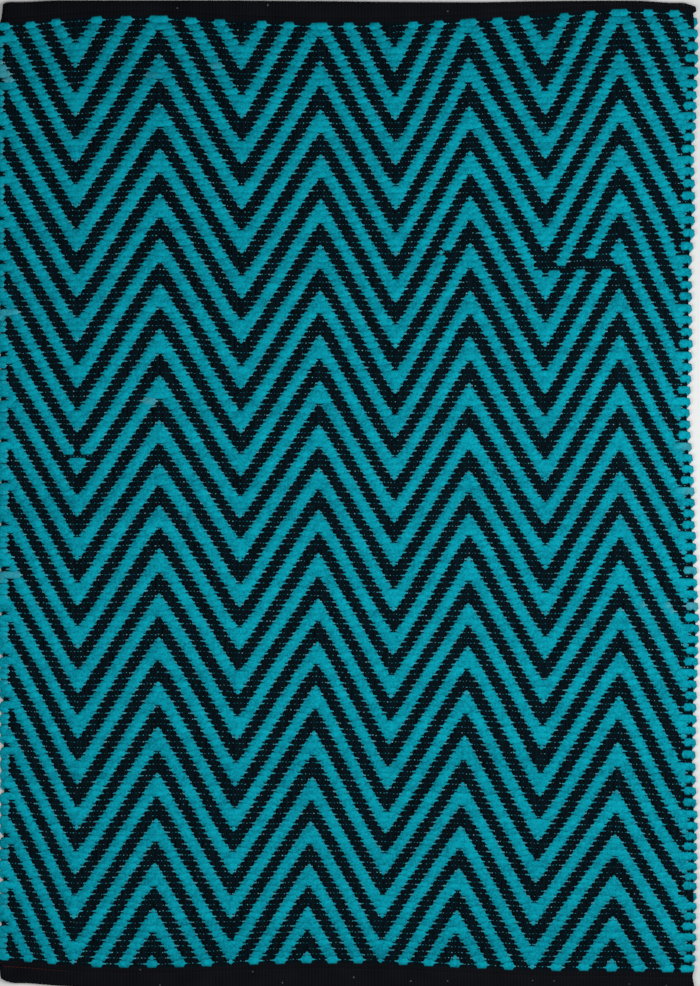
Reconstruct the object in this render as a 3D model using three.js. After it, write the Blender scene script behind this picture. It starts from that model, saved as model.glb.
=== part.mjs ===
// A hand-woven cotton rug lying flat: a thick body between two thinner turned-in hems.
// Millimetres. X runs across the rug, Y along it from the foot to the head, and Z up.
// The origin is at the middle of the underside, which is flat on the surface that the rug lies on.
import * as THREE from 'three';

// Driving dimensions
const WIDTH = 600; // selvedge to selvedge, between the lines that the two edges wander about
const LENGTH = 852; // fold to fold
const BODY_THICKNESS = 5.8; // the woven body, through its thick weft
const HEM_THICKNESS = 4.4; // the heading turned under twice
const STEP = 5; // how far the body's end slopes down to the hem
const SWELL = 0.25; // how far the body's face rises and falls
const EDGE_SAMPLES = 5; // strips round each selvedge
const FACE_SAMPLES = 28; // strips across each face
const BODY_ROWS = 50; // strips along the body
const FOLD_FLAT = 0.12; // share of the hem's thickness left at the very fold

// How far each selvedge stands outside its straight line, at places along the rug
const SELVEDGES = [
  { along: -426, left: -6.0, right: -1.2 },
  { along: -422, left: -3.0, right: -1.4 },
  { along: -418, left: -1.0, right: -2.6 },
  { along: -414, left: 0.0, right: -2.9 },
  { along: -408, left: 0.5, right: -1.2 },
  { along: -403, left: 0.6, right: 0.4 },
  { along: -380, left: 0.5, right: 0.0 },
  { along: -340, left: -0.8, right: 1.0 },
  { along: -290, left: -1.4, right: 1.4 },
  { along: -235, left: -1.8, right: -0.4 },
  { along: -180, left: -1.2, right: 0.6 },
  { along: -115, left: -0.2, right: 2.2 },
  { along: -60, left: 0.6, right: 0.4 },
  { along: 0, left: 0.4, right: -1.6 },
  { along: 75, left: 0.6, right: -5.2 },
  { along: 130, left: 1.0, right: -3.2 },
  { along: 190, left: 2.2, right: -3.6 },
  { along: 240, left: 2.8, right: -0.6 },
  { along: 290, left: 2.6, right: -1.6 },
  { along: 335, left: 2.4, right: 0.4 },
  { along: 385, left: 2.0, right: 2.4 },
  { along: 402, left: 1.0, right: 2.4 },
  { along: 409, left: -0.8, right: 1.2 },
  { along: 415, left: -1.6, right: 0.8 },
  { along: 420, left: -2.0, right: 0.0 },
  { along: 424, left: -3.4, right: -2.0 },
  { along: 426, left: -8.0, right: -5.0 },
];

// At places across the rug, how far each fold lies inside its straight line, and how deep each hem is
const HEMS = [
  { across: -300, headFold: 3.6, headDepth: 16.5, footFold: 8.2, footDepth: 21 },
  { across: -292, headFold: 0.4, headDepth: 19, footFold: 6.0, footDepth: 21.5 },
  { across: -280, headFold: 0.0, headDepth: 19, footFold: 3.6, footDepth: 22 },
  { across: -255, headFold: 0.0, headDepth: 18, footFold: 1.4, footDepth: 21 },
  { across: -210, headFold: 0.0, headDepth: 14, footFold: 0.3, footDepth: 19 },
  { across: -160, headFold: 0.0, headDepth: 14, footFold: 0.0, footDepth: 19 },
  { across: -120, headFold: 0.0, headDepth: 19, footFold: 0.2, footDepth: 20 },
  { across: -30, headFold: 0.6, headDepth: 20, footFold: 0.5, footDepth: 22 },
  { across: 60, headFold: 1.4, headDepth: 18, footFold: 0.3, footDepth: 20 },
  { across: 120, headFold: 1.6, headDepth: 15, footFold: 0.0, footDepth: 19 },
  { across: 180, headFold: 0.6, headDepth: 12, footFold: 0.2, footDepth: 16 },
  { across: 235, headFold: 0.2, headDepth: 7, footFold: 0.4, footDepth: 17 },
  { across: 270, headFold: 0.2, headDepth: 7.6, footFold: 0.6, footDepth: 17 },
  { across: 280, headFold: 0.6, headDepth: 8.5, footFold: 0.7, footDepth: 17 },
  { across: 290, headFold: 2.4, headDepth: 10, footFold: 0.8, footDepth: 17 },
  { across: 300, headFold: 4.3, headDepth: 10.7, footFold: 0.8, footDepth: 17 },
];

// The sections of one hem, counted from its fold: the share of its depth, and of its thickness
const HEM_SECTIONS = [
  { depth: 0.0, rise: FOLD_FLAT },
  { depth: 0.02, rise: 0.45 },
  { depth: 0.05, rise: 0.72 },
  { depth: 0.1, rise: 0.92 },
  { depth: 0.18, rise: 1.0 },
  { depth: 0.45, rise: 1.0 },
  { depth: 0.72, rise: 1.0 },
];

// The value of one column at a place between a table's rows
function readAt(table, placeColumn, place, column) {
  const next = table.findIndex((row) => row[placeColumn] >= place);
  if (next <= 0) {
    return table[next === 0 ? 0 : table.length - 1][column];
  }
  const before = table[next - 1];
  const after = table[next];
  const share = (place - before[placeColumn]) / (after[placeColumn] - before[placeColumn]);
  return THREE.MathUtils.lerp(before[column], after[column], THREE.MathUtils.smoothstep(share, 0, 1));
}

// The rise and fall of the body's face, from three long slow waves
function swellAt(x, y) {
  const wave = Math.sin(x / 47 + 0.6) * Math.cos(y / 61)
    + Math.sin(x / 83 - y / 39)
    + Math.cos(x / 29 + y / 97 + 1.1);
  return (SWELL * wave) / 3;
}

// The two fold lines and the two lines where the hems meet the body, at a place across the rug
function endLines(x) {
  const head = LENGTH / 2 - readAt(HEMS, 'across', x, 'headFold');
  const foot = -LENGTH / 2 + readAt(HEMS, 'across', x, 'footFold');
  return {
    head,
    headHem: head - readAt(HEMS, 'across', x, 'headDepth'),
    foot,
    footHem: foot + readAt(HEMS, 'across', x, 'footDepth'),
  };
}

// Every section along the rug, from the foot's fold to the head's
function sections() {
  const foot = HEM_SECTIONS.map(({ depth, rise }) => (
    { part: 'footHem', share: depth, thickness: HEM_THICKNESS, rise, swell: 0 }
  ));
  const head = HEM_SECTIONS.map(({ depth, rise }) => (
    { part: 'headHem', share: depth, thickness: HEM_THICKNESS, rise, swell: 0 }
  )).reverse();
  const body = [];
  for (let row = 0; row <= BODY_ROWS; row += 1) {
    body.push({
      part: 'body', share: row / BODY_ROWS, thickness: BODY_THICKNESS, rise: 1, swell: 1,
    });
  }
  return [...foot, ...body, ...head];
}

// Where a section crosses the lengthwise line at a place across the rug
function sectionY(section, x) {
  const lines = endLines(x);
  if (section.part === 'footHem') {
    return THREE.MathUtils.lerp(lines.foot, lines.footHem, section.share);
  }
  if (section.part === 'headHem') {
    return THREE.MathUtils.lerp(lines.head, lines.headHem, section.share);
  }
  return THREE.MathUtils.lerp(lines.footHem + STEP, lines.headHem - STEP, section.share);
}

// The places across one section: along the underside to the right, and back over the face
function ringPlaces() {
  const places = [];
  for (let n = 0; n <= FACE_SAMPLES; n += 1) {
    places.push({ across: n / FACE_SAMPLES, turn: -1 });
  }
  for (let n = 1; n < EDGE_SAMPLES; n += 1) {
    places.push({ across: 1, turn: -1 + (2 * n) / EDGE_SAMPLES });
  }
  for (let n = FACE_SAMPLES; n >= 0; n -= 1) {
    places.push({ across: n / FACE_SAMPLES, turn: 1 });
  }
  for (let n = EDGE_SAMPLES - 1; n > 0; n -= 1) {
    places.push({ across: 0, turn: -1 + (2 * n) / EDGE_SAMPLES });
  }
  return places;
}

// One point of one section. turn runs from -1 on the underside, round the selvedge, to 1 on the face
function ringPoint(section, place) {
  const half = (section.thickness / 2) * section.rise;
  const roughX = (place.across - 0.5) * WIDTH;
  const roughY = sectionY(section, roughX);
  const left = -WIDTH / 2 - readAt(SELVEDGES, 'along', roughY, 'left');
  const right = WIDTH / 2 + readAt(SELVEDGES, 'along', roughY, 'right');
  const flatLeft = left + half;
  const flatRight = right - half;
  const angle = (place.turn * Math.PI) / 2;
  const bulge = half * Math.cos(angle);
  let x = THREE.MathUtils.lerp(flatLeft, flatRight, place.across);
  if (place.across === 0) {
    x -= bulge;
  } else if (place.across === 1) {
    x += bulge;
  }
  const y = sectionY(section, x);
  const onFace = section.swell * Math.max(0, place.turn);
  const z = section.thickness / 2 + half * Math.sin(angle) + onFace * swellAt(x, y);
  return [x, y, z];
}

// The closed skin of the rug: rings joined one to the next, and a flat strip closing each end
function rugGeometry() {
  const places = ringPlaces();
  const rows = sections();
  const count = places.length;
  const positions = [];
  for (const section of rows) {
    for (const place of places) {
      positions.push(...ringPoint(section, place));
    }
  }
  const indices = [];
  for (let row = 0; row + 1 < rows.length; row += 1) {
    for (let n = 0; n < count; n += 1) {
      const a = row * count + n;
      const b = row * count + ((n + 1) % count);
      indices.push(a, b + count, b, a, a + count, b + count);
    }
  }
  closeEnd(indices, 0, true);
  closeEnd(indices, (rows.length - 1) * count, false);
  const geometry = new THREE.BufferGeometry();
  geometry.setAttribute('position', new THREE.Float32BufferAttribute(positions, 3));
  geometry.setIndex(indices);
  geometry.computeVertexNormals();
  return geometry;
}

// The strip that closes one end ring, between its underside and its face
function closeEnd(indices, first, foot) {
  const faceFirst = FACE_SAMPLES + EDGE_SAMPLES;
  const put = (a, b, c) => indices.push(...(foot ? [a, b, c] : [a, c, b]).map((n) => first + n));
  for (let n = 0; n < FACE_SAMPLES; n += 1) {
    const under = n;
    const over = faceFirst + FACE_SAMPLES - n;
    put(under, under + 1, over - 1);
    put(under, over - 1, over);
  }
  for (let n = 0; n + 2 <= EDGE_SAMPLES; n += 1) {
    put(FACE_SAMPLES, FACE_SAMPLES + n + 1, FACE_SAMPLES + n + 2);
  }
  const leftFace = faceFirst + FACE_SAMPLES;
  for (let n = 0; n + 1 < EDGE_SAMPLES; n += 1) {
    put(0, leftFace + n, leftFace + n + 1);
  }
}

const clothMaterial = new THREE.MeshStandardMaterial({
  name: 'woven_cotton',
  color: new THREE.Color().setRGB(0.03, 0.3, 0.36, THREE.SRGBColorSpace),
  roughness: 0.95,
  metalness: 0,
});

const rug = new THREE.Mesh(rugGeometry(), clothMaterial);
rug.name = 'rug';

const cottonRug = new THREE.Group();
cottonRug.name = 'cotton_rug';
cottonRug.add(rug);

export default cottonRug;
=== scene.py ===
"""A hand-woven cotton rug with a zigzag twill, lying flat on a pale floor.

The thick teal weft and the black warp are built strand by strand, on the draft that a weaver
would follow. The black headings are turned under twice and sewn down at both ends.
Tables are in millimetres, rounded readings from the photo. Everything in Blender is in metres.
"""

import math

import bpy
import numpy as np
from bpy.props import FloatProperty, FloatVectorProperty, IntProperty, PointerProperty
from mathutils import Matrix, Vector


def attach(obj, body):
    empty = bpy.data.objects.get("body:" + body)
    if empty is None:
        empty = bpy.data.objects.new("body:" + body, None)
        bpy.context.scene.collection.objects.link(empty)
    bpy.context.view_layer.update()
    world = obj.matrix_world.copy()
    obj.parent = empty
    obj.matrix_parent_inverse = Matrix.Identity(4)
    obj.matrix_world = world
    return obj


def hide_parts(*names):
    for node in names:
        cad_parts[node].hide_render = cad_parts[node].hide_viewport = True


bl_info = {
    "name": "Zigzag Cotton Rug",
    "version": (1, 0, 0),
    "blender": (4, 5, 0),
    "location": "3D View > Sidebar > Rug",
    "description": "Weaves a zigzag cotton rug strand by strand, with sewn headings",
    "category": "Add Mesh",
}

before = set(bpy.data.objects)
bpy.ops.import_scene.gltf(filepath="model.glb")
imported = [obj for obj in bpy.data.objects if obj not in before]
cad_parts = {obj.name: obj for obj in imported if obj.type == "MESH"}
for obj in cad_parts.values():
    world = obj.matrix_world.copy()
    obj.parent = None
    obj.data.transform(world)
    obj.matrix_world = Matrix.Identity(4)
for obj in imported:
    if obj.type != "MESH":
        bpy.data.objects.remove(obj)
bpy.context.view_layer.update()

MM = 0.001
BODY_THICKNESS = 0.0058
HALF_LENGTH = 0.426

# The draft: picks count down from the head, and warp ends count from the left
PICKS = 168
RUN_ENDS = 23
RUNS = 9
FIRST_END = -1
LAST_END = RUNS * RUN_ENDS - 1
REPEAT = 8

# The outermost ends have an order of their own, and the weft is stouter at the right edge
LEFT_EDGE_LAST = 0
LEFT_EDGE_MISS = 2
RIGHT_EDGE_FIRST = LAST_END - 2
RIGHT_EDGE_GIRTH = 1.05
SELVEDGE_INSET = 0.0032


def table(columns, *rows):
    """The rows of a table, with each number under its column's name."""
    return [dict(zip(columns.split(), row)) for row in rows]


# Where the zigzag turns: places across the rug of its left edge and its eight turning lines
TURNS = table(
    "along across",
    (400, (-298.4, -235, -163, -92, -24.5, 39.5, 103, 169.5, 234)),
    (306, (-298.4, -235, -162.5, -91.5, -23.5, 41, 105, 170, 234)),
    (188, (-297.6, -234, -162, -91.5, -24, 41, 105, 170, 233.5)),
    (70, (-294.9, -233.5, -162.5, -92.5, -25, 40.5, 104, 169.5, 234)),
    (-42, (-294.4, -233.5, -162.5, -93, -25.5, 39.5, 104, 170, 234.5)),
    (-118, (-294.3, -233, -163, -93.5, -26, 39, 103.5, 170, 234.5)),
    (-195, (-293.7, -233, -164, -95.5, -29, 36, 101, 167.5, 233)),
    (-274, (-293.5, -233.5, -165, -98, -32, 33, 97.5, 164.5, 230.5)),
    (-348, (-294.3, -236, -167.5, -101, -34.5, 29.5, 94, 160.5, 228.5)),
    (-400, (-296, -237, -169, -101, -35.5, 28, 92, 158.5, 227)),
)

# How the picks bow: places along the rug of some picks, at nine places across it
FELL_PLACES = (-297, -233, -163, -95, -28, 38, 167, 232, 295)
FELLS = table(
    "pick along",
    (0.5, (405, 411, 413, 408, 406, 406, 412.5, 419, 416.5)),
    (13, (341.5, 344, 346.5, 341.5, 339.5, 340, 345, 348.5, 349.5)),
    (21, (301, 303.5, 306.5, 301.5, 300.5, 301, 306, 309, 314)),
    (29, (261.5, 264.5, 267.5, 263, 262, 262.5, 268, 271.5, 274.5)),
    (37, (223.5, 226, 229, 224.5, 223, 222.5, 227.5, 230, 232)),
    (45, (186, 187, 190, 186, 183.5, 182, 185, 185.5, 186.5)),
    (53, (147.5, 149.5, 151.5, 147.5, 145.5, 143.5, 145.5, 146, 146)),
    (61, (105.5, 109.5, 111, 108, 106, 104, 104, 105, 105)),
    (69, (69, 70, 72, 69.5, 67.5, 65.5, 65, 66, 66)),
    (77, (34, 33.5, 34.5, 32.5, 30.5, 29, 27.5, 28, 27)),
    (93, (-38, -39.5, -38, -40.5, -42.5, -44.5, -46.5, -47.5, -49.5)),
    (101, (-79, -79, -77.5, -80, -82, -84, -87.5, -89.5, -91)),
    (117, (-151.5, -154, -152.5, -154.5, -156.5, -158.5, -162.5, -165.5, -168)),
    (125, (-190, -193, -192, -194, -195.5, -197.5, -202, -205, -208)),
    (133, (-229.5, -233, -231.5, -234, -235.5, -237.5, -243, -246, -250.5)),
    (141, (-268.5, -272.5, -271, -273.5, -274.5, -276, -282, -285.5, -290.5)),
    (157, (-344.5, -349, -348, -348, -347, -347.5, -355, -356, -358.5)),
    (168.5, (-399.5, -405.5, -407, -404, -402, -403.5, -409, -409, -410.5)),
)

# Places where the weft stays under the warp that it should cross
MISSED_SHEDS = table(
    "pick first last",
    (2, 204, 206), (40, 130, 131), (42, 170, 181), (43, 158, 184), (77, 19, 26), (154, 203, 206),
)

# Stretches where the weft has faded
FADED = table(
    "pick first last fade",
    (7, -1, 1, 0.45), (8, -1, 1, 0.45), (9, -1, 3, 0.5), (10, -1, 3, 0.5), (10, 38, 42, 0.3),
    (8, 60, 64, 0.3), (51, -1, 5, 0.35), (67, 41, 45, 0.45), (74, 204, 206, 0.45),
    (82, 204, 206, 0.45), (96, 202, 206, 0.4), (99, -1, 5, 0.38), (102, 190, 193, 0.4),
    (102, 198, 206, 0.5), (103, 198, 201, 0.35),
)

# The points of one float: how far past its first or last crossing each is, in crossings, how high
# it rises against the strand's full swing, how stout the strand is there, how strongly a painted
# highlight pales it there, how far it strays, and how far it crowds in over a short gap
FLOAT_COLUMNS = "from past lift girth rub stray crowd"


def mirrored(*rows):
    """The points of a float that is alike at both of its ends."""
    return table(FLOAT_COLUMNS, *(("first", *row) for row in rows),
                 *(("last", *row) for row in rows[::-1]))


WEFT_STEPS = {
    "over": mirrored((0.95, 1.6, 0.1, 0.9, 0.35, 0), (0.15, 1.4, 0.26, 0.4, 0.1, 0.35),
                     (-0.27, 1.0, 1.0, 0, 0, 0.45)),
    "under": mirrored((-0.4, -0.9, 0.75, 0.6, 0, 0)),
}
WARP_STEPS = {
    "over": table(
        FLOAT_COLUMNS,
        ("first", 0.3, 0.5, 0.86, 0, 0, 0),
        ("first", -0.35, 1.0, 1.0, 0, 0, 0),
        ("last", -0.25, 1.05, 1.0, 0, 0, 0),
        ("last", 0.3, 0.65, 0.86, 0, 0, 0),
    ),
    "under": mirrored((0.25, -0.8, 0.8, 0, 0, 0)),
}

# The float at the very point of a zigzag is short, its warp ends pinch it, and its painted
# highlight is stronger
SHORT_FLOAT = 2
SHORT_GIRTH = 0.66
SHORT_HIGHLIGHT = 0.25
SHORT_REACH = 0.3

# The weft's turn at a selvedge: how far out and how far down it is, and its girth
LOOP_OVER = table("out down girth", (0.6, 0.06, 0.95), (1.0, 0.32, 0.98), (1.0, 0.68, 0.98),
                  (0.6, 0.94, 0.95))
LOOP_UNDER = table("out down girth", (0.9, 0.04, 1.0), (1.0, 0.3, 0.9), (0.4, 0.62, 0.66),
                   (-0.6, 0.9, 0.6))

# How far hand weaving strays, and over how many picks or ends that changes
END_WANDER, END_WANDER_PICKS = 0.00035, 2.5
PICK_WANDER, PICK_WANDER_ENDS = 0.0003, 5
PICK_SHIFT = 0.00015

# How much the yarns' girth and dye change, and over how many crossings
SLUB = 0.06
WEFT_SLUB_ENDS, WARP_SLUB_PICKS = 7, 9
WEFT_DYE, WEFT_DYE_ENDS, WEFT_DYE_SHIFT = 0.14, 11, 0.1
WARP_DYE, WARP_DYE_PICKS = 0.3, 16
WEFT_PLUMP, WARP_PLUMP = 0.03, 0.06

# The pieces that the strands are shared out to, with the lengths of their rows in the bake's map
WEFT_PIECES, WEFT_ROW = 3, 0.62
WARP_PIECES, WARP_ROW = 2, 0.9


def setting(name, default, description, unit="LENGTH"):
    """A size or another number that a user may change."""
    return FloatProperty(name=name, description=description, default=default, unit=unit)


def colour_setting(name, default, description):
    """A colour that a user may change."""
    return FloatVectorProperty(name=name, description=description, default=default,
                               subtype="COLOR", size=3, min=0, max=1)


class RugWeave(bpy.types.PropertyGroup):
    """Sizes of the yarns and of the cloth that holds them."""

    weft_width: setting("Weft width", 0.0074, "How wide the flattened weft is, seen from above")
    weft_height: setting("Weft height", 0.0032, "How thick the flattened weft is")
    weft_rise: setting(
        "Weft rise", 0.0011, "How far the weft swings to each side of the cloth's middle")
    warp_width: setting("Warp width", 0.0031, "How wide a warp end is, seen from above")
    warp_height: setting("Warp height", 0.0014, "How thick a warp end is")
    warp_rise: setting("Warp rise", 0.0012, "How far a warp end swings to each side of the middle")
    loop_reach: setting("Loop reach", 0.0011, "How far the weft's turns stand out")
    # Inside the body the ground is a thin black core that joins the headings; it shows only in the
    # gaps between yarns, a dark sheet standing in for the shade there
    cloth_thickness: setting("Heading thickness", 0.00125, "Thickness of one layer of the heading")
    shade_core_thickness: setting("Ground thickness", 0.0005, "Thickness of the ground inside the body")
    stitch_length: setting("Stitch length", 0.0034, "Length of one hem stitch")
    fleck_size: setting("Fleck size", 0.0022, "Width of the largest bits of weft between warp ends")
    fleck_rise: setting("Fleck rise", 0.0045, "Height of the middle of those bits above the floor")
    seed: IntProperty(name="Seed", description="Seed of the yarns' unevenness", default=11)


class RugColours(bpy.types.PropertyGroup):
    """Colours of the dyed cotton."""

    weft: colour_setting("Weft", (0.0015, 0.32, 0.41), "The teal weft")
    weft_deep: colour_setting("Deep weft", (0.0005, 0.12, 0.17), "The weft where its dye is deep")
    # Used where the weft has faded, and for the painted highlight on the ends of its floats
    weft_faded_and_highlight: colour_setting(
        "Faded weft", (0.17, 0.38, 0.4), "The weft where it has faded or is rubbed")
    warp: colour_setting("Warp", (0.0011, 0.0052, 0.0078), "The black warp")
    heading: colour_setting("Heading", (0.0038, 0.0041, 0.0056), "The black heading")
    lint: colour_setting("Lint", (0.12, 0.13, 0.14), "Specks of lint on the headings")
    thread: colour_setting("Thread", (0.045, 0.009, 0.011), "The dark red sewing thread")


class RugStage(bpy.types.PropertyGroup):
    """The floor, the lights and the camera."""

    floor: colour_setting("Floor", (0.645, 0.65, 0.645), "The pale floor")
    right: setting("Right light", 12.0, "Power of the main light from the right", "POWER")
    left: setting("Left light", 6.3, "Power of the softer light from the left", "POWER")
    ambient: setting("Ambient light", 0.12, "Strength of the light from all round", "NONE")
    camera_height: setting("Camera height", 3.0, "Height of the camera above the rug's face")
    view_length: setting(
        "View length", 0.8487, "The length at the rug's face that fills the picture's height")
    centre: FloatVectorProperty(
        name="Centre", description="The place at the middle of the picture",
        default=(0.0017, 0.0017), size=2, subtype="XYZ", unit="LENGTH")


# Small helpers for objects and node trees

def link_object(name, data):
    """Adds an object to the scene."""
    made = bpy.data.objects.new(name, data)
    bpy.context.scene.collection.objects.link(made)
    return made


def bare_object(name, points, edges, columns):
    """A mesh of bare points and edges, with named numbers stored on the points."""
    mesh = bpy.data.meshes.new(name)
    mesh.from_pydata(points, edges, [])
    for label, column in columns.items():
        attribute = mesh.attributes.new(label, "FLOAT", "POINT")
        attribute.data.foreach_set("value", np.asarray(column, np.float32))
    return link_object(name, mesh)


def add_node(tree, kind, inputs=(), **settings):
    """Adds one node, sets its options, fills or links its inputs, and returns its outputs."""
    node = tree.nodes.new(kind)
    node.location = (190 * len(tree.nodes), 0)
    for name, value in settings.items():
        setattr(node, name, value)
    for key, value in dict(inputs).items():
        if isinstance(value, bpy.types.NodeSocket):
            tree.links.new(value, node.inputs[key])
        else:
            node.inputs[key].default_value = value
    return node.outputs


def add_math(tree, operation, *values):
    """Adds one Math node and returns its result."""
    return add_node(tree, "ShaderNodeMath", enumerate(values), operation=operation)[0]


def times(tree, first, second):
    """Multiplies two numbers."""
    return add_math(tree, "MULTIPLY", first, second)


def add_vector_math(tree, operation, inputs):
    """Adds one Vector Math node and returns its result."""
    return add_node(tree, "ShaderNodeVectorMath", inputs, operation=operation)[0]


def add_vector(tree, **parts):
    """Joins numbers to a vector."""
    return add_node(tree, "ShaderNodeCombineXYZ", parts)[0]


def add_up(tree, total, *parts):
    """Adds to a value some others, each times its share."""
    for value, share in parts:
        total = add_math(tree, "MULTIPLY_ADD", value, share, total)
    return total


def new_geometry_tree(name, sizes):
    """An empty geometry tree, with an input for each size and one for the material."""
    tree = bpy.data.node_groups.new(name, "GeometryNodeTree")
    tree.is_modifier = True
    for way in ("INPUT", "OUTPUT"):
        tree.interface.new_socket("Geometry", in_out=way, socket_type="NodeSocketGeometry")
    for label, value in sizes.items():
        kind = "NodeSocketInt" if isinstance(value, int) else "NodeSocketFloat"
        socket = tree.interface.new_socket(label, in_out="INPUT", socket_type=kind)
        socket.default_value = value
    tree.interface.new_socket("Material", in_out="INPUT", socket_type="NodeSocketMaterial")
    return tree, tree.nodes.new("NodeGroupInput").outputs


def read_attribute(tree, label):
    """Reads a number that is stored on the points."""
    return add_node(tree, "GeometryNodeInputNamedAttribute", {"Name": label},
                    data_type="FLOAT")["Attribute"]


def finish_tree(tree, geometry, material):
    """Ends a tree with smooth faces, real meshes and the material."""
    for kind in ("GeometryNodeSetShadeSmooth", "GeometryNodeRealizeInstances"):
        geometry = add_node(tree, kind, {"Geometry": geometry})[0]
    geometry = add_node(tree, "GeometryNodeSetMaterial",
                        {"Geometry": geometry, "Material": material})[0]
    tree.links.new(geometry, tree.nodes.new("NodeGroupOutput").inputs["Geometry"])
    return tree


def run_tree(source, tree, values):
    """Runs a geometry tree on a source object and returns the result as a plain mesh object."""
    modifier = source.modifiers.new("Weave", "NODES")
    modifier.node_group = tree
    for item in tree.interface.items_tree:
        if item.item_type == "SOCKET" and item.in_out == "INPUT" and item.name in values:
            modifier[item.identifier] = values[item.name]
    graph = bpy.context.evaluated_depsgraph_get()
    mesh = bpy.data.meshes.new_from_object(source.evaluated_get(graph))
    name = source.name
    bpy.data.objects.remove(source)
    mesh.name = name
    return link_object(name, mesh)


# The weave

def end_crosses_over(pick, end):
    """Whether the weft lies over one warp end on one pick."""
    for miss in MISSED_SHEDS:
        if miss["pick"] == pick and miss["first"] <= end <= miss["last"]:
            return False
    if end <= LEFT_EDGE_LAST:
        return pick % REPEAT != LEFT_EDGE_MISS
    if end >= RIGHT_EDGE_FIRST and pick % 2 == 0:
        return True
    if end > RIGHT_EDGE_FIRST:
        return False
    run, step = divmod(end, RUN_ENDS)
    rise = step + 0.5 if run % 2 == 0 else RUN_ENDS - step - 0.5
    phase = (pick - rise + 2) % REPEAT
    return phase < REPEAT / 2


def soft_noise(random, count, spacing):
    """Smooth noise, about -1 to 1, that changes every few steps."""
    knots = int(count / spacing) + 3
    values = random.uniform(-1, 1, knots)
    return np.interp(np.arange(count) / spacing, np.arange(knots), values)


def fell_place(pick, across):
    """The place along the rug of one pick, in metres, at places across it."""
    picks = [row["pick"] for row in FELLS]
    columns = [np.interp(pick, picks, [row["along"][n] for row in FELLS])
               for n in range(len(FELL_PLACES))]
    x = np.asarray(across) / MM
    spread = 22.0
    return sum(np.interp(x + s, FELL_PLACES, columns) for s in (-spread, 0, spread)) / 3 * MM


def teal_edge(end, across):
    """Where the weft stops at the head or at the foot: half a pick past its outermost pick."""
    return fell_place(0.5 if end > 0 else PICKS + 0.5, across)


class Outline:
    """The rug's outline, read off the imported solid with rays."""

    RAY_HEIGHT = 0.0022
    CORNER_MARGIN = 0.0008
    HALF_FOLD = 0.285

    def __init__(self):
        self.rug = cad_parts["rug"]
        reach = HALF_LENGTH - self.CORNER_MARGIN
        self.along = np.linspace(-reach, reach, 400)
        self.across = np.linspace(-self.HALF_FOLD, self.HALF_FOLD, 120)
        self.left, self.right = ([self.hit((-side, y), (side, 0))[0] for y in self.along]
                                 for side in (1, -1))
        self.head, self.foot = ([self.hit((x, end), (0, -end))[1] for x in self.across]
                                for end in (1, -1))

    def hit(self, start, way):
        """Where a level ray meets the solid."""
        found, place, _, _ = self.rug.ray_cast(Vector((*start, self.RAY_HEIGHT)), Vector((*way, 0)))
        if not found:
            raise RuntimeError(f"no outline seen from {start}")
        return place

    def left_at(self, y):
        return np.interp(y, self.along, self.left)

    def right_at(self, y):
        return np.interp(y, self.along, self.right)

    def fold_at(self, x, end):
        return np.interp(x, self.across, self.head if end > 0 else self.foot)


class Weave:
    """Every crossing of weft and warp: its place, and which of the two is on top."""

    FIRST_GUESS = (-0.297, 0.296)
    EDGE_GAP = (0.0024, 0.0042)

    def __init__(self, sizes):
        self.sizes = sizes
        self.outline = Outline()
        self.random = np.random.default_rng(sizes.seed)
        self.ends = np.arange(FIRST_END, LAST_END + 1)
        picks = range(1, PICKS + 1)
        self.x, self.y = (np.array(rows) for rows in zip(*(self.crossings(p) for p in picks)))
        self.add_wander()
        self.over = np.array([[end_crosses_over(p, e) for e in self.ends] for p in picks])

    def crossings(self, pick):
        """The places of all the warp ends along one pick, found in a few passes."""
        x = np.linspace(*self.FIRST_GUESS, len(self.ends))
        for _ in range(3):
            x = self.end_places(fell_place(pick, x))
        return x, fell_place(pick, x)

    def end_places(self, y):
        """How far across the rug each warp end lies, at its own place along the rug."""
        rows = TURNS[::-1]
        along = [row["along"] * MM for row in rows]
        lines = [np.interp(y, along, [row["across"][n] * MM for row in rows])
                 for n in range(len(TURNS[0]["across"]))]
        lines.append(self.outline.right_at(y) - SELVEDGE_INSET)
        lines = np.array(lines)
        run = np.clip(self.ends // RUN_ENDS, 0, RUNS - 1)
        step = (self.ends + 0.5 - run * RUN_ENDS) / RUN_ENDS
        index = np.arange(len(self.ends))
        before = lines[run, index]
        after = lines[run + 1, index]
        places = before + (after - before) * step
        least, most = self.EDGE_GAP
        outermost = self.outline.left_at(y[0]) + SELVEDGE_INSET
        places[0] = np.clip(outermost, places[1] - most, places[1] - least)
        return places

    def add_wander(self):
        """Moves the crossings a little, as hand weaving does."""
        for n in range(len(self.ends)):
            self.x[:, n] += END_WANDER * soft_noise(self.random, PICKS, END_WANDER_PICKS)
        for row in range(PICKS):
            self.y[row] += PICK_WANDER * soft_noise(self.random, len(self.ends), PICK_WANDER_ENDS)
            self.y[row] += PICK_SHIFT * self.random.uniform(-1, 1)


# A strand is a list of points, each with its place across and along the rug and these numbers

STRAND_COLUMNS = ("lift", "girth", "tone", "tip")


def floats_of(signs):
    """The floats of a row of crossings, as (first, last, sign)."""
    cuts = [0, *(np.flatnonzero(np.diff(signs)) + 1), len(signs)]
    return [(first, stop - 1, signs[first]) for first, stop in zip(cuts[:-1], cuts[1:])]


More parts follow.
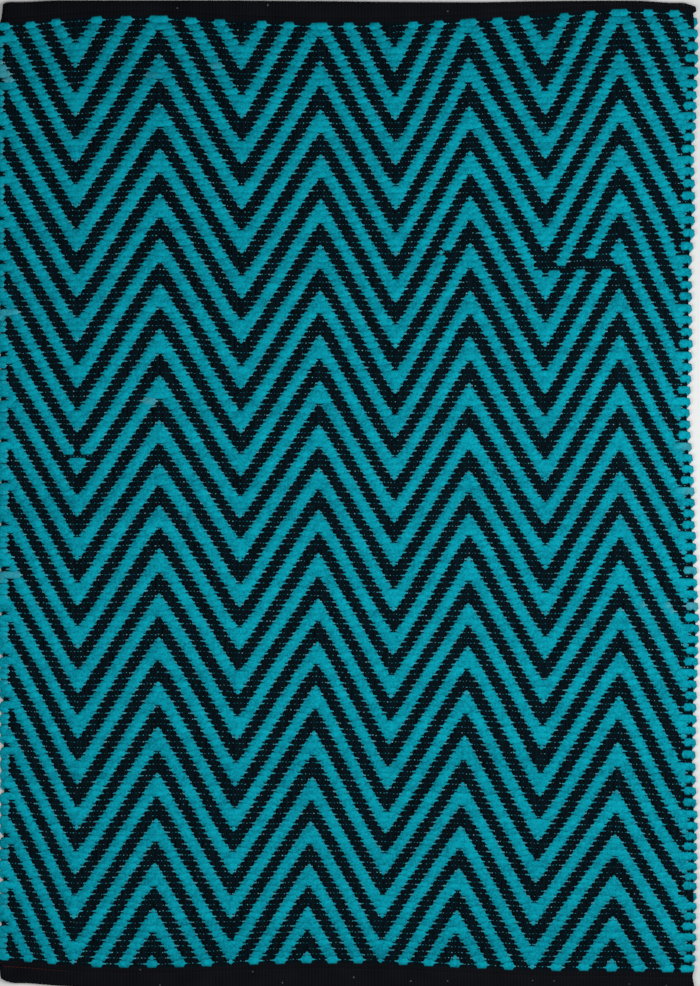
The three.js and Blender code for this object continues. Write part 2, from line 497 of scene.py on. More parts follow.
def follow_floats(xs, ys, signs, rise, steps, looks, random):
    """The points of a strand that runs over and under, by the table of its float's points."""
    points = []
    index = np.arange(len(xs))
    floats = floats_of(signs)
    lengths = [0] + [last - first + 1 for first, last, _ in floats] + [0]
    for n, (first, last, sign) in enumerate(floats):
        before = -math.inf
        gaps = {"first": lengths[n], "last": lengths[n + 2]}
        for step in steps["over" if sign > 0 else "under"]:
            past = step["past"] + step["stray"] * random.uniform(-1, 1)
            if gaps[step["from"]] == SHORT_FLOAT:
                past += step["crowd"]
            if lengths[n + 1] == SHORT_FLOAT:
                past = min(past, SHORT_REACH)
            place = first - past if step["from"] == "first" else last + past
            if place < 0 or place > len(xs) - 1 or place <= before:
                continue
            before = place
            stout, tone, tip = looks(place, step["rub"], last - first + 1)
            points.append((np.interp(place, index, xs), np.interp(place, index, ys),
                           rise * step["lift"], step["girth"] * stout, tone, tip))
    return points


def fade_of(pick, end):
    """How faded the weft is at one crossing."""
    return sum(row["fade"] for row in FADED
               if row["pick"] == pick and row["first"] <= end <= row["last"])


def weft_pick(weave, pick):
    """One pick from left to right."""
    random = weave.random
    count = len(weave.ends)
    slub = soft_noise(random, count, WEFT_SLUB_ENDS)
    dye = 0.5 + WEFT_DYE * soft_noise(random, count, WEFT_DYE_ENDS)
    dye = dye + WEFT_DYE_SHIFT * random.uniform(-1, 1)
    plump = 1 + WEFT_PLUMP * random.uniform(-1, 1)

    def looks(place, rub, length):
        n = int(round(place))
        stout = plump * (1 + SLUB * slub[n])
        if length == SHORT_FLOAT:
            stout *= SHORT_GIRTH
            rub += SHORT_HIGHLIGHT
        if n + FIRST_END >= RIGHT_EDGE_FIRST:
            stout *= RIGHT_EDGE_GIRTH
        # The float's ends get a painted highlight, added to where the weft has really faded
        fade = rub * random.uniform(0.15, 1) + fade_of(pick, n + FIRST_END)
        return stout, dye[n], min(1.0, fade)

    row = pick - 1
    signs = np.where(weave.over[row], 1, -1)
    return follow_floats(weave.x[row], weave.y[row], signs, weave.sizes.weft_rise, WEFT_STEPS,
                         looks, random)


def weft_loop(weave, tone, pick, other, side):
    """The weft's turn round the selvedge, from one pick to another."""
    column = -1 if side > 0 else 0
    sizes = weave.sizes
    row, beside = pick - 1, other - 1
    outwards = 0.0004
    x = (weave.x[row, column] + weave.x[beside, column]) / 2 + side * outwards
    top, bottom = weave.y[row, column], weave.y[beside, column]
    before = 1 if weave.over[row, column] else -1
    after = 1 if weave.over[beside, column] else -1
    reach = sizes.loop_reach * (1 + 0.35 * weave.random.uniform(-1, 1))
    fade = fade_of(pick, LAST_END if side > 0 else FIRST_END)
    swing = 0.85
    return [(x + side * reach * turn["out"], top + (bottom - top) * turn["down"],
             (before + (after - before) * turn["down"]) * sizes.weft_rise * swing,
             turn["girth"], tone, fade) for turn in (LOOP_OVER if after > 0 else LOOP_UNDER)]


def split_evenly(items, parts):
    """Splits a list into a few nearly equal lists."""
    bounds = np.linspace(0, len(items), parts + 1).astype(int)
    return [items[a:b] for a, b in zip(bounds[:-1], bounds[1:])]


def weft_strands(weave):
    """The weft, cut into a few lengths that each run to and fro."""
    lengths = []
    strand = []
    tone = STRAND_COLUMNS.index("tone") + 2
    for picks in split_evenly(range(1, PICKS + 1), WEFT_PIECES):
        for pick in picks:
            side = 1 if pick % 2 == 0 else -1
            other = pick + 1 if pick < PICKS else pick - 1
            strand += weft_pick(weave, pick)[::side]
            strand += weft_loop(weave, strand[-1][tone], pick, other, side)
        finished = other < pick
        lengths.append(strand if finished else strand[:-1])
        strand = strand[-2:]
    return lengths


def warp_strand(weave, column):
    """One warp end, from inside one heading to inside the other."""
    random = weave.random
    slub = soft_noise(random, PICKS, WARP_SLUB_PICKS)
    dye = 0.5 + WARP_DYE * soft_noise(random, PICKS, WARP_DYE_PICKS)
    plump = 1 + WARP_PLUMP * random.uniform(-1, 1)

    def looks(place, rub, length):
        n = int(round(place))
        return plump * (1 + SLUB * slub[n]), dye[n], rub

    signs = np.where(weave.over[:, column], -1, 1)
    xs, ys = weave.x[:, column], weave.y[:, column]
    longest, margin = 0.0035, 0.0025
    head = min(longest, weave.outline.fold_at(xs[0], 1) - ys[0] - margin)
    foot = min(longest, ys[-1] - weave.outline.fold_at(xs[-1], -1) - margin)
    tails = ((1, 0.0006), (0.5, 0.0009))
    plain = (0.9, 0.5, 0.0)
    return ([(xs[0], ys[0] + head * share, lift, *plain) for share, lift in tails]
            + follow_floats(xs, ys, signs, weave.sizes.warp_rise, WARP_STEPS, looks, random)
            + [(xs[-1], ys[-1] - foot * share, lift, *plain) for share, lift in tails[::-1]])


def strand_object(name, strands, row_length):
    """A mesh of bare edges for some strands, and how many rows their map needs."""
    values = np.concatenate([np.array(strand) for strand in strands])
    places = np.zeros((len(values), 3))
    places[:, :2] = values[:, :2]
    places[:, 2] = BODY_THICKNESS / 2
    edges = []
    along = np.zeros(len(values))
    start = 0
    for n, strand in enumerate(strands):
        stop = start + len(strand)
        steps = np.linalg.norm(np.diff(places[start:stop], axis=0), axis=1)
        along[start + 1:stop] = np.cumsum(steps)
        along[start:stop] += n * row_length
        edges += [(k, k + 1) for k in range(start, stop - 1)]
        start = stop
    columns = dict(zip(STRAND_COLUMNS, values.T[2:]))
    made = bare_object(name, places.tolist(), edges, {**columns, "along": along})
    return made, math.ceil((along.max() + 0.001) / row_length)


def yarn_tree():
    """A tree that sweeps strands into yarns and lifts them over and under."""
    tree, given = new_geometry_tree("Yarn Sweep", {
        "Width": 0.005, "Height": 0.003, "Sides": 6, "Unevenness": 0.0002,
        "Row Length": 0.6, "Rows": 50})
    squareness = 0.7
    band_start, band_share = 0.02, 0.96
    row_start, row_share = 0.015, 0.97

    def read(label):
        return read_attribute(tree, label)

    def store(geometry, label, value, kind, domain):
        return add_node(tree, "GeometryNodeStoreNamedAttribute",
                        {"Geometry": geometry, "Name": label, "Value": value},
                        data_type=kind, domain=domain)[0]

    def on_face(value):
        return add_node(tree, "GeometryNodeFieldOnDomain", {0: value},
                        data_type="FLOAT", domain="FACE")[0]

    path = add_node(tree, "GeometryNodeMeshToCurve", {"Mesh": given["Geometry"]})[0]
    path = add_node(tree, "GeometryNodeSetCurveNormal", {"Curve": path}, mode="Z_UP")[0]
    ring = add_node(tree, "GeometryNodeCurvePrimitiveCircle",
                    {"Resolution": given["Sides"], "Radius": 1.0})[0]
    index = add_node(tree, "GeometryNodeInputIndex")[0]
    ring = store(ring, "around", add_math(tree, "DIVIDE", index, given["Sides"]), "FLOAT", "POINT")
    corner = add_node(tree, "ShaderNodeSeparateXYZ",
                      {0: add_node(tree, "GeometryNodeInputPosition")[0]})
    squared = {}
    for axis in "XY":
        size = add_math(tree, "POWER", add_math(tree, "ABSOLUTE", corner[axis]), squareness)
        squared[axis] = times(tree, size, add_math(tree, "SIGN", corner[axis]))
    ring = add_node(tree, "GeometryNodeSetPosition",
                    {"Geometry": ring, "Position": add_vector(tree, **squared)})[0]
    size = add_vector(tree, X=times(tree, given["Width"], 0.5),
                      Y=times(tree, given["Height"], 0.5), Z=1.0)
    ring = add_node(tree, "GeometryNodeTransform", {"Geometry": ring, "Scale": size})[0]
    yarn = add_node(tree, "GeometryNodeCurveToMesh", {
        "Curve": path, "Profile Curve": ring, "Scale": read("girth"), "Fill Caps": True})[0]

    place = add_node(tree, "GeometryNodeInputPosition")[0]
    rough = add_node(tree, "ShaderNodeTexNoise", {"Vector": place, "Scale": 320.0, "Detail": 1.0})
    swell = add_vector_math(tree, "SUBTRACT", {0: rough["Color"], 1: (0.5, 0.5, 0.5)})
    swell = add_vector_math(tree, "SCALE", {0: swell, "Scale": given["Unevenness"]})
    offset = add_vector_math(tree, "ADD", {0: swell, 1: add_vector(tree, Z=read("lift"))})
    yarn = add_node(tree, "GeometryNodeSetPosition", {"Geometry": yarn, "Offset": offset})[0]

    row_place = add_math(tree, "DIVIDE", read("along"), given["Row Length"])
    face_row = add_math(tree, "FLOOR", on_face(row_place))
    across = add_math(tree, "SUBTRACT", row_place, face_row)
    across = add_math(tree, "MULTIPLY_ADD", across, row_share, row_start)
    around = read("around")
    behind = add_math(tree, "SUBTRACT", on_face(around), around)
    wrapped = add_math(tree, "ADD", around, add_math(tree, "GREATER_THAN", behind, 0.3))
    band = add_math(tree, "MULTIPLY_ADD", wrapped, band_share, band_start)
    band = add_math(tree, "DIVIDE", add_math(tree, "ADD", face_row, band), given["Rows"])
    yarn = store(yarn, "OFBake", add_vector(tree, X=across, Y=band), "FLOAT2", "CORNER")
    yarn = store(yarn, "yarn", add_vector(tree, X=read("along"), Y=wrapped), "FLOAT2", "CORNER")
    return finish_tree(tree, yarn, given["Material"])


# The bits of weft that peep out between warp ends

def fleck_source(weave):
    """Bare points for the flecks, with each one's size, paleness and tone."""
    random = np.random.default_rng(weave.sizes.seed + 1)
    left_out = 0.15
    places, looks = [], []
    for row in range(PICKS):
        over = weave.over[row]
        for n in range(1, len(over) - 2):
            if over[n] or over[n + 1] or random.uniform(0, 1) < left_out:
                continue
            share = 0.5 + 0.08 * random.uniform(-1, 1)
            x = weave.x[row, n] + (weave.x[row, n + 1] - weave.x[row, n]) * share
            y = (weave.y[row, n] + weave.y[row, n + 1]) / 2 + 0.0003 * random.uniform(-1, 1)
            places.append((x, y, weave.sizes.fleck_rise))
            looks.append((0.4 + 0.6 * random.uniform(0, 1) ** 1.5, random.uniform(0, 1) ** 2,
                          random.uniform(-0.1, 0.6)))
    columns = dict(zip(("size", "tip", "tone"), zip(*looks)))
    return bare_object("weft_flecks", places, [], columns)


def fleck_tree():
    """A tree that sets a small soft knot on every point."""
    tree, given = new_geometry_tree("Weft Flecks", {"Size": 0.0015})
    radius = times(tree, given["Size"], 0.5)
    knot = add_node(tree, "GeometryNodeMeshUVSphere",
                    {"Segments": 4, "Rings": 2, "Radius": radius})[0]
    knot = add_node(tree, "GeometryNodeTransform", {"Geometry": knot, "Scale": (1.0, 0.65, 0.5)})[0]
    spots = add_node(tree, "GeometryNodeInstanceOnPoints", {
        "Points": given["Geometry"], "Instance": knot,
        "Scale": read_attribute(tree, "size")})[0]
    return finish_tree(tree, spots, given["Material"])


# The ground cloth and its headings

STITCH_ROOM = 0.0004
SEAM_DIP = 0.0009
SEAM_FROM_TEAL = 0.0058
SEAM_SHARE = 0.42
TUCK_PAST_SEAM, LEAST_TUCK = 0.0014, 0.0052
CORE_ROWS = 24
CLOTH_COLUMNS = 110
CLOTH_WIDTH, CLOTH_HALF = 0.598, 0.2985
BODY_INSET, HEADING_INSET = 0.0034, 0.0003


def hem_layers(layer):
    """The heights of the middles of a hem's three layers. Its stitches stand below the lowest."""
    low = STITCH_ROOM + layer / 2
    return low, low + 1.03 * layer, low + 2.06 * layer


def seam_depth(depth):
    """How far in from the fold the hem's stitches run, in a hem of this depth."""
    return max(depth - SEAM_FROM_TEAL, SEAM_SHARE * depth)


def heading_section(depth, layer, thin):
    """One heading from the body to its raw edge: places inside the fold, heights, thicknesses."""
    seam = seam_depth(depth)
    inner = max(seam + TUCK_PAST_SEAM, LEAST_TUCK)
    low, middle, high = hem_layers(layer)
    bend, bend_z = (high - low) / 2, (high + low) / 2
    tuck, tuck_z = (middle - low) / 2, (middle + low) / 2
    core = BODY_THICKNESS / 2
    start = layer / 2 + bend
    points = [(depth + 0.012, core, thin), (depth + 0.005, core, thin),
              (depth + 0.002, core + 0.0002, thin + 0.0002),
              (depth, core + 0.0006, layer * 0.8), (seam + 0.0022, high - 0.0001, layer),
              (seam + 0.001, high - 0.0004, layer), (seam, high - SEAM_DIP, layer * 0.9),
              (seam - 0.001, high - 0.0004, layer), (seam - 0.0022, high, layer)]
    points += [(start + (seam - 0.0025 - start) * share, high, layer)
               for share in (0.75, 0.5, 0.25, 0.1)]
    for degrees in range(90, -91, -30):
        angle = math.radians(degrees)
        points.append((start - bend * math.cos(angle), bend_z + bend * math.sin(angle), layer))
    points += [(start + (inner - start) * share, low, layer) for share in (0.25, 0.5, 0.75)]
    for degrees in range(-90, 91, 45):
        angle = math.radians(degrees)
        points.append((inner + tuck * math.cos(angle), tuck_z + tuck * math.sin(angle), layer))
    back = start + 0.0006 - inner
    points += [(inner + back * share, middle, layer) for share in (0.35, 0.7, 1.0)]
    return points


def cloth_section(weave, x):
    """The middle line of the cloth at one place across, from the foot's raw edge to the head's."""
    sizes = weave.sizes
    ends = []
    for end in (-1, 1):
        fold = weave.outline.fold_at(x, end)
        points = heading_section(abs(fold - teal_edge(end, x)), sizes.cloth_thickness,
                                 sizes.shade_core_thickness)
        ends.append([(fold - end * depth, z, thickness) for depth, z, thickness in points])
    foot, head = ends
    (y, core, thin), last = foot[0], head[0][0]
    # The thin black core through the body: it joins the headings and shows only in the gaps between
    # yarns, standing in for the shade there
    body = [(y + (last - y) * (n / CORE_ROWS), core, thin) for n in range(1, CORE_ROWS)]
    return foot[::-1] + body + head


def ground_mesh(weave):
    """The two faces of the ground cloth, the distance along it, and its flat width and length."""
    share = np.arange(CLOTH_COLUMNS + 1) / CLOTH_COLUMNS
    nominal = np.clip((share - 0.5) * CLOTH_WIDTH, -CLOTH_HALF, CLOTH_HALF)
    y, z, thickness = np.moveaxis(np.array([cloth_section(weave, x) for x in nominal]), 2, 0)
    in_body = thickness < weave.sizes.cloth_thickness * 0.7
    inset = np.where(in_body, BODY_INSET, HEADING_INSET)
    left = weave.outline.left_at(y) + inset
    right = weave.outline.right_at(y) - inset
    x = left + (right - left) * share[:, None]
    step_y, step_z = np.gradient(y, axis=1), np.gradient(z, axis=1)
    size = np.hypot(step_y, step_z)
    normal_y, normal_z = -step_z / size, step_y / size
    over, under = (
        np.stack([x, y + side * normal_y * thickness / 2, z + side * normal_z * thickness / 2],
                 axis=-1) for side in (1, -1))
    steps = np.hypot(np.diff(y, axis=1), np.diff(z, axis=1)).sum(axis=1)
    flat = (float(np.average(right - left, weights=size)), float(steps.mean()))
    travel = np.zeros(y.shape[1])
    travel[1:] = np.cumsum(np.hypot(np.diff(y.mean(axis=0)), np.diff(z.mean(axis=0))))
    return over, under, travel, flat


def ground_object(weave, material):
    """The ground cloth as one closed mesh, smooth, with a map of its own weave."""
    over, under, travel, flat = ground_mesh(weave)
    columns, rows = over.shape[:2]
    points = np.concatenate([over.reshape(-1, 3), under.reshape(-1, 3)])
    points[:, 2] = np.maximum(points[:, 2], 0.0)
    below = columns * rows
    faces = []
    for c in range(columns - 1):
        for r in range(rows - 1):
            a, b = c * rows + r, (c + 1) * rows + r
            faces.append((a, b, b + 1, a + 1))
            faces.append((below + a, below + a + 1, below + b + 1, below + b))
    for c in range(columns - 1):
        for r in (0, rows - 1):
            a, b = c * rows + r, (c + 1) * rows + r
            quad = (a, below + a, below + b, b)
            faces.append(quad if r == 0 else quad[::-1])
    for r in range(rows - 1):
        for c in (0, columns - 1):
            a = c * rows + r
            quad = (a, a + 1, below + a + 1, below + a)
            faces.append(quad if c == 0 else quad[::-1])
    mesh = bpy.data.meshes.new("ground_cloth")
    mesh.from_pydata(points.tolist(), [], faces)
    index = np.zeros(len(mesh.loops), np.int32)
    mesh.loops.foreach_get("vertex_index", index)
    flat_place = np.column_stack([points[:, 0], np.tile(travel, 2 * columns)])
    weave_map = mesh.uv_layers.new(name="cloth")
    weave_map.data.foreach_set("uv", flat_place[index].astype(np.float32).ravel())
    mesh.polygons.foreach_set("use_smooth", np.ones(len(mesh.polygons), bool))
    mesh.materials.append(material)
    mesh.validate()
    return link_object("ground_cloth", mesh), flat


# The hem stitches

def seam_object(weave):
    """The lines that the hem stitches follow, on the face and on the underside."""
    layer = weave.sizes.cloth_thickness
    heights = {1: hem_layers(layer)[2] - SEAM_DIP + 0.45 * layer, -1: 0.0005}
    half_seam, spacing = 0.2955, 0.004
    red_from, red_to, red_left, red_elsewhere = -0.26, -0.235, 0.12, 0.06
    points, edges, red, flip = [], [], [], []
    for end in (-1, 1):
        for face, height in heights.items():
            start = len(points)
            for x in np.arange(-half_seam, half_seam, spacing):
                fold = weave.outline.fold_at(x, end)
                depth = abs(fold - teal_edge(end, x))
                points.append((x, float(fold - end * seam_depth(depth)), height))
                flip.append(0.0 if face > 0 else 1.0)
                red.append(np.interp(x, (red_from, red_to), (1.0, red_left)) if end < 0
                           else red_elsewhere)
            edges += [(n, n + 1) for n in range(start, len(points) - 1)]
    return bare_object("hem_stitches", points, edges, {"tone": red, "flip": flip})


def stitch_tree():
    """A tree that sets small bowed stitches along a seam."""
    tree, given = new_geometry_tree("Hem Stitches", {
        "Pitch": 0.005, "Length": 0.0034, "Thickness": 0.0007, "Seed": 5})
    rise, sink = 0.0006, -0.0004
    path = add_node(tree, "GeometryNodeMeshToCurve", {"Mesh": given["Geometry"]})[0]
    path = add_node(tree, "GeometryNodeResampleCurve",
                    {"Curve": path, "Length": given["Pitch"]}, mode="LENGTH")[0]
    half = times(tree, given["Length"], 0.5)
    back = times(tree, half, -1.0)
    bow = add_node(tree, "GeometryNodeCurveQuadraticBezier", {
        "Resolution": 5, "Start": add_vector(tree, X=back, Z=sink),
        "Middle": add_vector(tree, Z=rise), "End": add_vector(tree, X=half, Z=sink)})[0]
    radius = times(tree, given["Thickness"], 0.5)
    ring = add_node(tree, "GeometryNodeCurvePrimitiveCircle",
                    {"Resolution": 6, "Radius": radius})[0]
    stitch = add_node(tree, "GeometryNodeCurveToMesh",
                      {"Curve": bow, "Profile Curve": ring, "Fill Caps": True})[0]
    tangent = add_node(tree, "GeometryNodeInputTangent")[0]
    turn = add_node(tree, "FunctionNodeAlignRotationToVector", {"Vector": tangent}, axis="X")[0]
    half_turn = times(tree, read_attribute(tree, "flip"), math.pi)
    turn = add_node(tree, "FunctionNodeRotateRotation",
                    {"Rotation": turn, "Rotate By": add_vector(tree, X=half_turn)},
                    rotation_space="LOCAL")[0]
    size = add_node(tree, "FunctionNodeRandomValue",
                    {2: 0.8, 3: 1.15, "Seed": given["Seed"]}, data_type="FLOAT")[1]
    spots = add_node(tree, "GeometryNodeInstanceOnPoints", {
        "Points": path, "Instance": stitch, "Rotation": turn, "Scale": size})[0]
    return finish_tree(tree, spots, given["Material"])


# Materials

def new_material(name, roughness, sheen=None, sheen_tint=None):
    """A matt material, and its tree, shader and object coordinates."""
    material = bpy.data.materials.new(name)
    material.use_nodes = True
    tree = material.node_tree
    shader = tree.nodes["Principled BSDF"].inputs
    shader["Roughness"].default_value = roughness
    if sheen:
        shader["Specular IOR Level"].default_value = 0.03
        shader["Sheen Weight"].default_value = sheen
        shader["Sheen Roughness"].default_value = 0.6
        shader["Sheen Tint"].default_value = (*sheen_tint, 1)
    return material, tree, shader, add_node(tree, "ShaderNodeTexCoord")["Object"]


def stored(tree, label):
    """A number that the strands carry."""
    return add_node(tree, "ShaderNodeAttribute", attribute_name=label)["Fac"]


def noise(tree, place, scale, detail=2.0):
    """Soft noise, from 0 to 1."""
    return add_node(tree, "ShaderNodeTexNoise",
                    {"Vector": place, "Scale": scale, "Detail": detail})[0]


def ridges(tree, value):
    """Round ridges: 1 on each crown and 0 between two of them, a half turn of value apart."""
    return add_math(tree, "ABSOLUTE", add_math(tree, "SINE", value))


def mix_colours(tree, factor, first, second):
    """Mixes two colours."""
    def full(colour):
        return colour if isinstance(colour, bpy.types.NodeSocket) else (*colour, 1)
    mix = add_node(tree, "ShaderNodeMix", {0: factor, 6: full(first), 7: full(second)},
                   data_type="RGBA")
    return mix[2]


def shaded(tree, factor, colour, dim, lit):
    """A colour that runs from a dimmer to a lighter shade of itself."""
    shades = (tuple(share * part for part in colour) for share in (dim, lit))
    return mix_colours(tree, factor, *shades)


def plies(tree, turns_per_metre, count=2):
    """The twist of a yarn: 1 on the crown of a ply and 0 between two plies."""
    split = add_node(tree, "ShaderNodeSeparateXYZ", {
        0: add_node(tree, "ShaderNodeUVMap", uv_map="yarn")[0]})
    turned = times(tree, split["X"], turns_per_metre)
    around = times(tree, split["Y"], float(count))
    twist = add_math(tree, "ADD", turned, around)
    return ridges(tree, times(tree, twist, math.pi))


def bump_of(tree, height, distance, strength, shader):
    """Bumps the surface."""
    bump = add_node(tree, "ShaderNodeBump",
                    {"Height": height, "Distance": distance, "Strength": strength})
    tree.links.new(bump[0], shader["Normal"])


def weft_material(colours):
    """Soft teal cotton: cloudy dye, loose plies with painted shade between them, fibres, and float
    ends paled by a painted highlight.
    """
    material, tree, shader, place = new_material("teal_cotton", 0.9, 0.03, (0.2, 0.8, 0.9))
    cloud = noise(tree, place, 60.0)
    mottle = noise(tree, place, 650.0, 1.0)
    fibre = noise(tree, place, 1500.0, 3.0)
    twist = plies(tree, 70.0)
    # The twist also darkens the colour in the grooves between plies: painted shade
    light = add_up(tree, stored(tree, "tone"),
                   (cloud, 0.4), (mottle, 1.6), (fibre, 0.6), (twist, 0.2))
    light = add_math(tree, "SUBTRACT", light, 1.3)
    body = mix_colours(tree, light, colours.weft_deep, colours.weft)
    # Paler where the weft has faded, on some flecks, and at the float ends, where it is a painted
    # highlight
    pale = add_math(tree, "POWER", stored(tree, "tip"), 2.0)
    pale = times(tree, pale, 0.9)
    body = mix_colours(tree, pale, body, colours.weft_faded_and_highlight)
    tree.links.new(body, shader["Base Color"])
    bump_of(tree, add_up(tree, twist, (fibre, 0.5)), 0.0004, 0.5, shader)
    return material


def warp_material(colours):
    """Black cotton warp: hard twist, faint dusty lift."""
    material, tree, shader, place = new_material("black_cotton", 0.85, 0.008, (0.4, 0.6, 0.65))
    fibre = noise(tree, place, 1800.0)
    light = add_up(tree, stored(tree, "tone"), (fibre, 0.6))
    light = add_math(tree, "SUBTRACT", light, 0.3)
    tree.links.new(shaded(tree, light, colours.warp, 0.55, 1.5), shader["Base Color"])
    bump_of(tree, add_up(tree, plies(tree, 220.0), (fibre, 0.4)), 0.0003, 0.6, shader)
    return material


def heading_material(colours):
    """The black plain-woven heading: warp ribs crossed by fine picks, with painted shade between
    the ribs and a little lint.
    """
    material, tree, shader, place = new_material("black_heading", 0.88, 0.01, (0.6, 0.6, 0.7))
    rib_pitch, pick_pitch, speck = 0.00285, 0.0011, 0.017
    flat = add_node(tree, "ShaderNodeUVMap", uv_map="cloth")[0]
    split = add_node(tree, "ShaderNodeSeparateXYZ", {0: flat})
    rib = ridges(tree, times(tree, split["X"], math.pi / rib_pitch))
    fine = ridges(tree, times(tree, split["Y"], math.pi / pick_pitch))
    fibre = noise(tree, place, 1300.0, 3.0)
    # The ribs also darken the colour in the grooves between them: painted shade
    light = add_up(tree, noise(tree, place, 45.0), (fibre, 0.5), (rib, 0.35))
    light = add_math(tree, "SUBTRACT", light, 0.45)
    body = shaded(tree, light, colours.heading, 0.5, 1.6)
    lint = add_node(tree, "ShaderNodeTexVoronoi", {"Vector": flat, "Scale": 30.0},
                    voronoi_dimensions="2D")["Distance"]
    lint = times(tree, add_math(tree, "LESS_THAN", lint, speck), 0.7)
    tree.links.new(mix_colours(tree, lint, body, colours.lint), shader["Base Color"])
    bump_of(tree, add_up(tree, rib, (fine, 0.4)), 0.0004, 0.8, shader)
    return material


def thread_material(colours):
    """Sewing thread: dark red where it shows at the foot, and nearly black elsewhere."""
    material, tree, shader, place = new_material("sewing_thread", 0.6, 0.05, (0.6, 0.5, 0.5))
    bump_of(tree, noise(tree, place, 2500.0), 0.0002, 0.5, shader)
    red = mix_colours(tree, stored(tree, "tone"), colours.warp, colours.thread)
    tree.links.new(red, shader["Base Color"])
    return material


def floor_material(settings):
    """A plain pale floor."""
    material, tree, shader, place = new_material("pale_floor", 0.7)
    floor = shaded(tree, noise(tree, place, 3.0), settings.floor, 0.97, 1.0)
    tree.links.new(floor, shader["Base Color"])
    return material


# Operators

WEAVES = {}


def shared_weave(context):
    """The weave, worked out once and used by every piece."""
    if "rug" not in WEAVES:
        WEAVES["rug"] = Weave(context.scene.rug_weave)
    return WEAVES["rug"]


def finish_piece(piece, slot, *nodes):
    """Fastens a finished piece to the frame, and hides what it stands for."""
    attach(piece, "root")
    if nodes:
        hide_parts(*nodes)


def sweep_yarns(name, parts, slot, tree, values):
    """Makes one piece of yarn from each part, which is a list of strands."""
    for n, strands in enumerate(parts):
        source, rows = strand_object(f"{name}_{n + 1}", strands, values["Row Length"])
        piece = run_tree(source, tree, {**values, "Rows": rows})
        finish_piece(piece, slot, "rug")


class RUG_OT_weft(bpy.types.Operator):
    """Weave the teal weft, pick by pick, with its turns at the selvedges"""

    bl_idname = "rug.weft"
    bl_label = "Weft"

    def execute(self, context):
        weave = shared_weave(context)
        sizes = weave.sizes
        material = weft_material(context.scene.rug_colours)
        parts = [[strand] for strand in weft_strands(weave)]
        sweep_yarns("weft", parts, "teal_cotton", yarn_tree(), {
            "Width": sizes.weft_width, "Height": sizes.weft_height, "Unevenness": 0.0005,
            "Row Length": WEFT_ROW, "Material": material})
        flecks = run_tree(fleck_source(weave), fleck_tree(),
                          {"Size": sizes.fleck_size, "Material": material})
        finish_piece(flecks, "teal_cotton", "rug")
        return {"FINISHED"}


class RUG_OT_warp(bpy.types.Operator):
    """String the black warp, end by end, from heading to heading"""

    bl_idname = "rug.warp"
    bl_label = "Warp"

    def execute(self, context):
        weave = shared_weave(context)
        sizes = weave.sizes
        strands = [warp_strand(weave, n) for n in range(len(weave.ends))]
        sweep_yarns("warp", split_evenly(strands, WARP_PIECES), "black_cotton", yarn_tree(), {
            "Width": sizes.warp_width, "Height": sizes.warp_height, "Unevenness": 0.0002,
            "Row Length": WARP_ROW, "Material": warp_material(context.scene.rug_colours)})
        return {"FINISHED"}


class RUG_OT_headings(bpy.types.Operator):
    """Make the ground cloth with its two turned headings, and sew them down"""

    bl_idname = "rug.headings"
    bl_label = "Headings"

    def execute(self, context):
        weave = shared_weave(context)
        stitch = weave.sizes.stitch_length
        colours = context.scene.rug_colours
        cloth, flat = ground_object(weave, heading_material(colours))
        finish_piece(cloth, "black_cotton", "rug")
        stitches = run_tree(seam_object(weave), stitch_tree(), {
            "Length": stitch, "Pitch": stitch * 1.03, "Material": thread_material(colours)})
        finish_piece(stitches, "sewing_thread")
        return {"FINISHED"}


def soft_light(name, place, size, power):
    """A square light that faces the middle of the rug."""
    light = bpy.data.lights.new(name, "AREA")
    light.shape = "SQUARE"
    light.size = size
    light.energy = power
    lamp = link_object(name, light)
    lamp.location = place
    lamp.rotation_mode = "QUATERNION"
    lamp.rotation_quaternion = (-Vector(place)).to_track_quat("-Z", "Y")


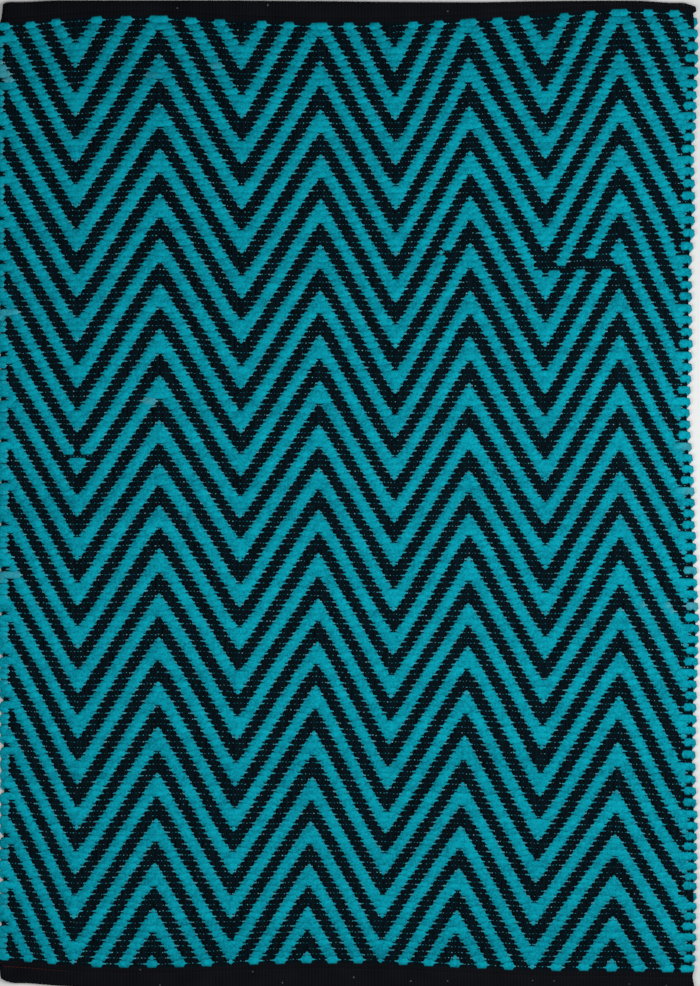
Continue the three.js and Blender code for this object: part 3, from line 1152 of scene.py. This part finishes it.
class RUG_OT_stage(bpy.types.Operator):
    """Lay the pale floor, set the soft lights and place the camera straight above"""

    bl_idname = "rug.stage"
    bl_label = "Stage"

    def execute(self, context):
        scene = context.scene
        settings = scene.rug_stage
        mesh = bpy.data.meshes.new("floor")
        reach = 4.0
        corners = [(x * reach, y * reach, 0) for x, y in ((-1, -1), (1, -1), (1, 1), (-1, 1))]
        mesh.from_pydata(corners, [], [(0, 1, 2, 3)])
        mesh.materials.append(floor_material(settings))
        link_object("floor", mesh)

        soft_light("right_light", (0.64, 0.04, 1.0), 0.6, settings.right)
        soft_light("left_light", (-0.43, -0.22, 1.0), 0.7, settings.left)
        scene.world = bpy.data.worlds.new("soft_room")
        scene.world.use_nodes = True
        background = scene.world.node_tree.nodes["Background"].inputs
        background["Color"].default_value = (1, 1, 1, 1)
        background["Strength"].default_value = settings.ambient

        camera = bpy.data.cameras.new("camera")
        camera.sensor_width = 36.0
        camera.lens = camera.sensor_width * settings.camera_height / settings.view_length
        camera.clip_end = 50.0
        scene.camera = link_object("camera", camera)
        scene.camera.location = (*settings.centre, settings.camera_height + BODY_THICKNESS)
        scene.view_settings.view_transform = "Standard"
        return {"FINISHED"}


class RUG_PT_sidebar(bpy.types.Panel):
    """The rug's settings and steps"""

    bl_label = "Rug"
    bl_space_type = "VIEW_3D"
    bl_region_type = "UI"
    bl_category = "Rug"

    def draw(self, context):
        layout = self.layout
        for group in (context.scene.rug_weave, context.scene.rug_colours, context.scene.rug_stage):
            box = layout.box()
            for label in group.bl_rna.properties.keys():
                if label not in ("rna_type", "name"):
                    box.prop(group, label)
        for operator in STEPS:
            layout.operator(operator.bl_idname)


STEPS = (RUG_OT_stage, RUG_OT_weft, RUG_OT_warp, RUG_OT_headings)
GROUPS = {"rug_weave": RugWeave, "rug_colours": RugColours, "rug_stage": RugStage}
CLASSES = (*GROUPS.values(), *STEPS, RUG_PT_sidebar)


def register():
    """Registers the classes and the scene's settings."""
    for kind in CLASSES:
        bpy.utils.register_class(kind)
    for label, group in GROUPS.items():
        setattr(bpy.types.Scene, label, PointerProperty(type=group))


def unregister():
    """Takes back what register added."""
    for label in GROUPS:
        delattr(bpy.types.Scene, label)
    for kind in reversed(CLASSES):
        bpy.utils.unregister_class(kind)


def main():
    """Builds the stage and the rug."""
    register()
    bpy.ops.rug.stage()
    bpy.ops.rug.weft()
    bpy.ops.rug.warp()
    bpy.ops.rug.headings()


if __name__ == "__main__":
    main()
